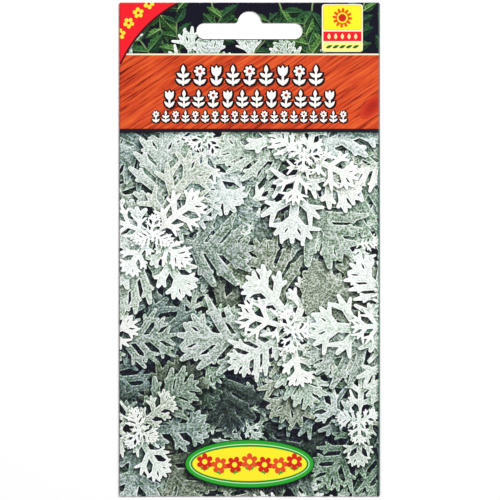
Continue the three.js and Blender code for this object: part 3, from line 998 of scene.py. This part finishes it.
def printed_paper():
    """Coated, printed paper. Leaves get pale rims, veins and felt, and the band its grain."""
    material, tree, shader = new_material("printed_paper")
    colour = add_node(tree, "ShaderNodeAttribute", {"attribute_name": "ink"}).outputs["Color"]
    marks = add_node(tree, "ShaderNodeAttribute", {"attribute_name": "marks"}).outputs["Vector"]
    from_edge, from_vein, finish = add_node(tree, "ShaderNodeSeparateXYZ", Vector=marks).outputs
    spot = add_node(tree, "ShaderNodeTexCoord").outputs["Object"]
    is_leaf, is_wood, is_green = (reckoned(tree, "COMPARE", finish, float(number), 0.3)
                                  for number in (LEAF, WOOD, GREEN))

    def line(distance, wide, weight):
        """A soft line on a leaf, along its edge or its veins."""
        near = ranged(tree, distance, 0.35 * wide, wide, weight, 0.0, "SMOOTHSTEP")
        return reckoned(tree, "MULTIPLY", near, is_leaf)

    felt = ranged(tree, noise(tree, spot, 1800.0, Detail=2.0, Roughness=0.6), 0.42, 0.58)
    mottle = mixed(tree, "MIX", felt, (0.24, 0.38, 0.2, 1), (1.56, 1.46, 1.56, 1))
    grey = add_node(tree, "ShaderNodeRGBToBW", Color=colour).outputs[0]
    share = reckoned(tree, "MULTIPLY", ranged(tree, grey, 0.4, 0.85, 1.0, 0.26), is_leaf)
    share = reckoned(tree, "MULTIPLY_ADD", is_green, 0.8, share)
    felted = mixed(tree, "MULTIPLY", share, colour, mottle)
    lighter = mixed(tree, "SCREEN", 1.0, felted, felted)
    lighter = mixed(tree, "SCREEN", 1.0, lighter, lighter)
    colour = mixed(tree, "MIX", line(from_vein, 0.2, 0.4), felted, lighter)
    colour = mixed(tree, "MIX", line(from_edge, 0.48, 0.85), colour, lighter)

    grain = add_node(tree, "ShaderNodeMapping", {"vector_type": "TEXTURE"}, Vector=spot,
                     Rotation=(0, 0, math.radians(33)), Scale=(0.02, 0.001, 0.02)).outputs[0]
    streaks = noise(tree, grain, 1.0, Detail=6.0, Roughness=0.72, Distortion=0.4)
    ramp = add_node(tree, "ShaderNodeValToRGB", Fac=streaks)
    stops = ramp.color_ramp.elements
    stops[0].position, stops[0].color = 0.37, (*ink("#6c160b"), 1)
    stops[1].position, stops[1].color = 0.66, (*ink("#ec6830"), 1)
    stops.new(0.47).color = (*ink("#cc421e"), 1)
    colour = mixed(tree, "MIX", is_wood, colour, ramp.outputs[0])

    # pale scuffs along the end folds, and painted shade: a darker line along each side fold
    across, along, _ = add_node(tree, "ShaderNodeSeparateXYZ", Vector=spot).outputs
    wear = noise(tree, spot, 900.0, Detail=4.0, Roughness=0.7)
    scuff = ranged(tree, reckoned(tree, "ABSOLUTE", along), TOP * MM - 0.0004, TOP * MM, 0.0, 0.5)
    scuff = ranged(tree, reckoned(tree, "ADD", scuff, wear), 0.8, 1.05, 0.0, 0.4)
    colour = mixed(tree, "MIX", scuff, colour, (0.8, 0.8, 0.78, 1))
    # painted shade along the left fold, then a teal-grey painted shade along the right fold
    left_fold_shade = ranged(tree, across, (0.4 - RIGHT) * MM, (0.15 - RIGHT) * MM)
    colour = mixed(tree, "MULTIPLY", left_fold_shade, colour, (0.29, 0.22, 0.21, 1))
    right_fold_shade = ranged(tree, across, (RIGHT - 0.65) * MM, (RIGHT - 0.35) * MM, 0.0, 0.5)
    colour = mixed(tree, "MIX", right_fold_shade, colour, (0.1, 0.16, 0.16, 1))
    tree.links.new(colour, shader.inputs["Base Color"])

    sheen = ranged(tree, noise(tree, spot, 180.0, Detail=2.0), 0.0, 1.0, 0.22, 0.32)
    tree.links.new(sheen, shader.inputs["Roughness"])
    shader.inputs["Specular IOR Level"].default_value = 0.2
    return material


def mottle_group():
    """Group for what is dry and fibrous: a fine mottle between two colours, and its height."""
    group = bpy.data.node_groups.new("fine_mottle", "ShaderNodeTree")
    for name, kind in (("Scale", "Float"), ("Dark", "Color"), ("Light", "Color")):
        group.interface.new_socket(name, in_out="INPUT", socket_type="NodeSocket" + kind)
    for name, kind in (("Color", "Color"), ("Height", "Float")):
        group.interface.new_socket(name, in_out="OUTPUT", socket_type="NodeSocket" + kind)
    given = group.nodes.new("NodeGroupInput").outputs
    result = group.nodes.new("NodeGroupOutput").inputs
    spot = add_node(group, "ShaderNodeTexCoord").outputs["Object"]
    height = noise(group, spot, given["Scale"], Detail=4.0)
    group.links.new(mixed(group, "MIX", height, given["Dark"], given["Light"]), result["Color"])
    group.links.new(height, result["Height"])
    return group


def mottled_material(name, scale, dark, light, roughness, relief, depth):
    """A matt material of two mottled colours with a fine relief."""
    material, tree, shader = new_material(name)
    mottle = add_node(tree, "ShaderNodeGroup", {"node_tree": fine_mottle}, Scale=scale, Dark=dark,
                      Light=light).outputs
    tree.links.new(mottle["Color"], shader.inputs["Base Color"])
    bump = add_node(tree, "ShaderNodeBump", Height=mottle["Height"], Strength=relief, Distance=depth)
    tree.links.new(bump.outputs[0], shader.inputs["Normal"])
    shader.inputs["Roughness"].default_value = roughness
    return material


fine_mottle = mottle_group()
bare_paper = mottled_material("bare_paper", scale=1400.0, dark=(0.8, 0.79, 0.75, 1),
                              light=(0.9, 0.89, 0.86, 1), roughness=0.85, relief=0.3, depth=0.00002)
sheet.materials.append(printed_paper())
sheet.materials.append(bare_paper)
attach(envelope, "root")
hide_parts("envelope")

# ------------------------------------------------------------------------------ the seeds
# The seeds lie loose in the envelope, a low heap one seed deep. Each is a slim dry husk with
# shallow ribs, narrow at its foot and with a small collar at its head. The seeds lie flat,
# each across the tip of another.

SEED_LENGTH = 2.3
SEED_RADIUS = 0.33
SEED_COUNT = 96
HEAP_CENTRE = (2, -38)
HEAP_REACH = (17, 21)
SEED_PROFILE = ((0.25, 0.0), (0.72, 0.18), (0.98, 0.45), (1.0, 0.66), (0.7, 0.9), (0.42, 0.94), (0.5, 1.0))


def model_seed():
    """One seed along +Y: a ring of ten points, extruded and scaled from its foot to its head."""
    bpy.ops.object.select_all(action="DESELECT")
    radius, _ = SEED_PROFILE[0]
    foot = (0, -SEED_LENGTH / 2 * MM, 0)
    bpy.ops.mesh.primitive_circle_add(vertices=10, radius=radius * SEED_RADIUS * MM, fill_type="NGON",
                                      location=foot, rotation=(math.pi / 2, 0, 0))
    seed = bpy.context.object
    bpy.ops.object.transform_apply(location=True, rotation=True, scale=True)
    bpy.ops.object.mode_set(mode="EDIT")
    for (before, low), (after, high) in zip(SEED_PROFILE, SEED_PROFILE[1:]):
        rise = (high - low) * SEED_LENGTH * MM
        bpy.ops.mesh.extrude_region_move(TRANSFORM_OT_translate={"value": (0, rise, 0)})
        bpy.ops.transform.resize(value=(after / before, 1, after / before))
    bpy.ops.object.mode_set(mode="OBJECT")
    for n, vertex in enumerate(seed.data.vertices):
        if n % 2:
            vertex.co.x *= 0.82
            vertex.co.z *= 0.82
    bpy.ops.object.mode_set(mode="EDIT")
    bpy.ops.mesh.select_all(action="SELECT")
    bpy.ops.mesh.normals_make_consistent(inside=False)
    bpy.ops.object.mode_set(mode="OBJECT")
    bpy.ops.object.shade_smooth_by_angle(angle=math.radians(50))
    return seed


def numbers_from(state):
    """An endless stream of repeatable numbers from 0 to 1."""
    while True:
        state = (state * 1664525 + 1013904223) % 4294967296
        yield state / 4294967296


def heap():
    """Place and heading of each seed. Each one lies across the tip of an earlier one."""
    draw = numbers_from(7)
    lying = [(*HEAP_CENTRE, 0.4)]
    reach = 0.42 * SEED_LENGTH
    while len(lying) < SEED_COUNT:
        host_x, host_y, host_heading = lying[math.floor(next(draw) * len(lying))]
        tip = -reach if next(draw) < 0.5 else reach
        heading = host_heading + math.pi / 2 + (next(draw) - 0.5) * 1.4
        side = -1 if next(draw) < 0.5 else 1
        shift = side * (0.25 + 0.5 * next(draw)) * reach
        x = host_x - tip * math.sin(host_heading) - shift * math.sin(heading)
        y = host_y + tip * math.cos(host_heading) + shift * math.cos(heading)
        out = ((x - HEAP_CENTRE[0]) / HEAP_REACH[0]) ** 2 + ((y - HEAP_CENTRE[1]) / HEAP_REACH[1]) ** 2
        if out < 1 and all(math.hypot(a - x, b - y) >= 0.36 * SEED_LENGTH for a, b, _ in lying):
            lying.append((x, y, heading))
    return lying


dry_husk = mottled_material("dry_husk", scale=900.0, dark=(*ink("#6a4f2c"), 1),
                            light=(*ink("#a58a5e"), 1), roughness=0.75, relief=0.4, depth=0.00003)
seed = model_seed()
seat = 2 * PAPER + 0.05 + SEED_RADIUS
copies = []
for n, (x, y, heading) in enumerate(heap()):
    copy = seed.copy()
    copy.data = seed.data.copy()
    roll = Matrix.Rotation(n, 4, "Y")
    turn = Matrix.Rotation(heading, 4, "Z")
    copy.data.transform(Matrix.Translation((x * MM, y * MM, seat * MM)) @ turn @ roll)
    bpy.context.scene.collection.objects.link(copy)
    copies.append(copy)
bpy.data.objects.remove(seed)
bpy.ops.object.select_all(action="DESELECT")
for copy in copies:
    copy.select_set(True)
bpy.context.view_layer.objects.active = copies[0]
bpy.ops.object.join()
seeds = bpy.context.object
seeds.name = seeds.data.name = "packet_seeds"
seeds.data.materials.append(dry_husk)
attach(seeds, "root")
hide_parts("seeds")
